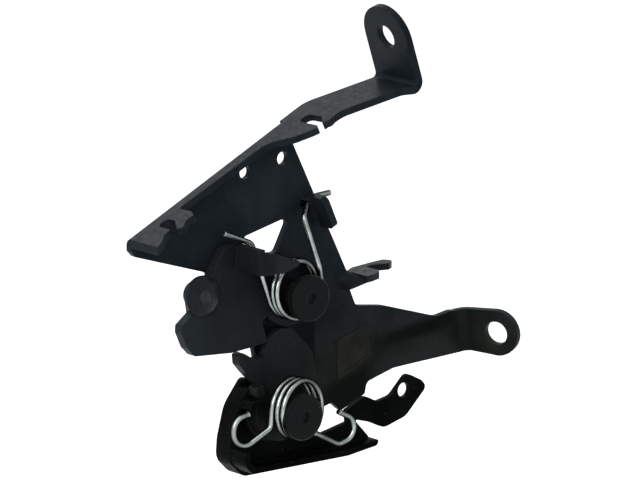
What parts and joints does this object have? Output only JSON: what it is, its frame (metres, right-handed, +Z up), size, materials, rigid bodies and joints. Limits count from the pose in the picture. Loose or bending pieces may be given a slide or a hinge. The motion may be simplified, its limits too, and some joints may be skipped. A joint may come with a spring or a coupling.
{
  "type": "bonnet latch",
  "caption": "Sheet metal bonnet latch: folded carrier plate with two mounting ears, a spring loaded catch lever and a spring loaded release lever pulled by a cable.",
  "frame": {"origin": "centre of the right locating hole in the web, at the web's front face", "axes": "+Y through the web from front to back along the locating hole, +Z up as in the picture, +X towards the side arm"},
  "size_m": [0.1908, 0.0349, 0.1945],
  "materials": {
    "painted_sheet": "gloss",
    "dark_steel": "satin",
    "dark_button": "gloss",
    "zinc_wire": "satin"
  },
  "bodies": {
    "carrier": {"carrier_plate": "painted_sheet", "catch_pivot": "dark_steel", "catch_sleeve": "dark_steel", "catch_washer": "dark_steel", "catch_spring": "zinc_wire", "pawl_washer": "dark_steel", "release_washer": "dark_steel", "release_spring": "zinc_wire"},
    "catch": {"catch_lever": "painted_sheet", "catch_button": "dark_button"},
    "release": {"pawl_lever": "painted_sheet", "release_lever": "painted_sheet", "release_pivot": "dark_steel", "release_sleeve": "dark_steel"}
  },
  "joints": [
    {"name": "release_turn", "type": "hinge", "parent": "carrier", "child": "release", "pos_m": [-0.0055, 0, -0.1063], "axis": [0, -1, 0], "range_deg": [0, 14], "stiffness_Nm_per_rad": 0.4, "springref_deg": -20.05, "deforming": ["release_spring"]},
    {"name": "catch_turn", "type": "hinge", "parent": "carrier", "child": "catch", "pos_m": [-0.0012, 0, -0.0562], "axis": [0, -1, 0], "range_deg": [-25.3, 0], "deforming": ["catch_spring"]}
  ],
  "couplings": [
    {"joint": "catch_turn", "follows": "release_turn", "ratio": -1.8}
  ]
}
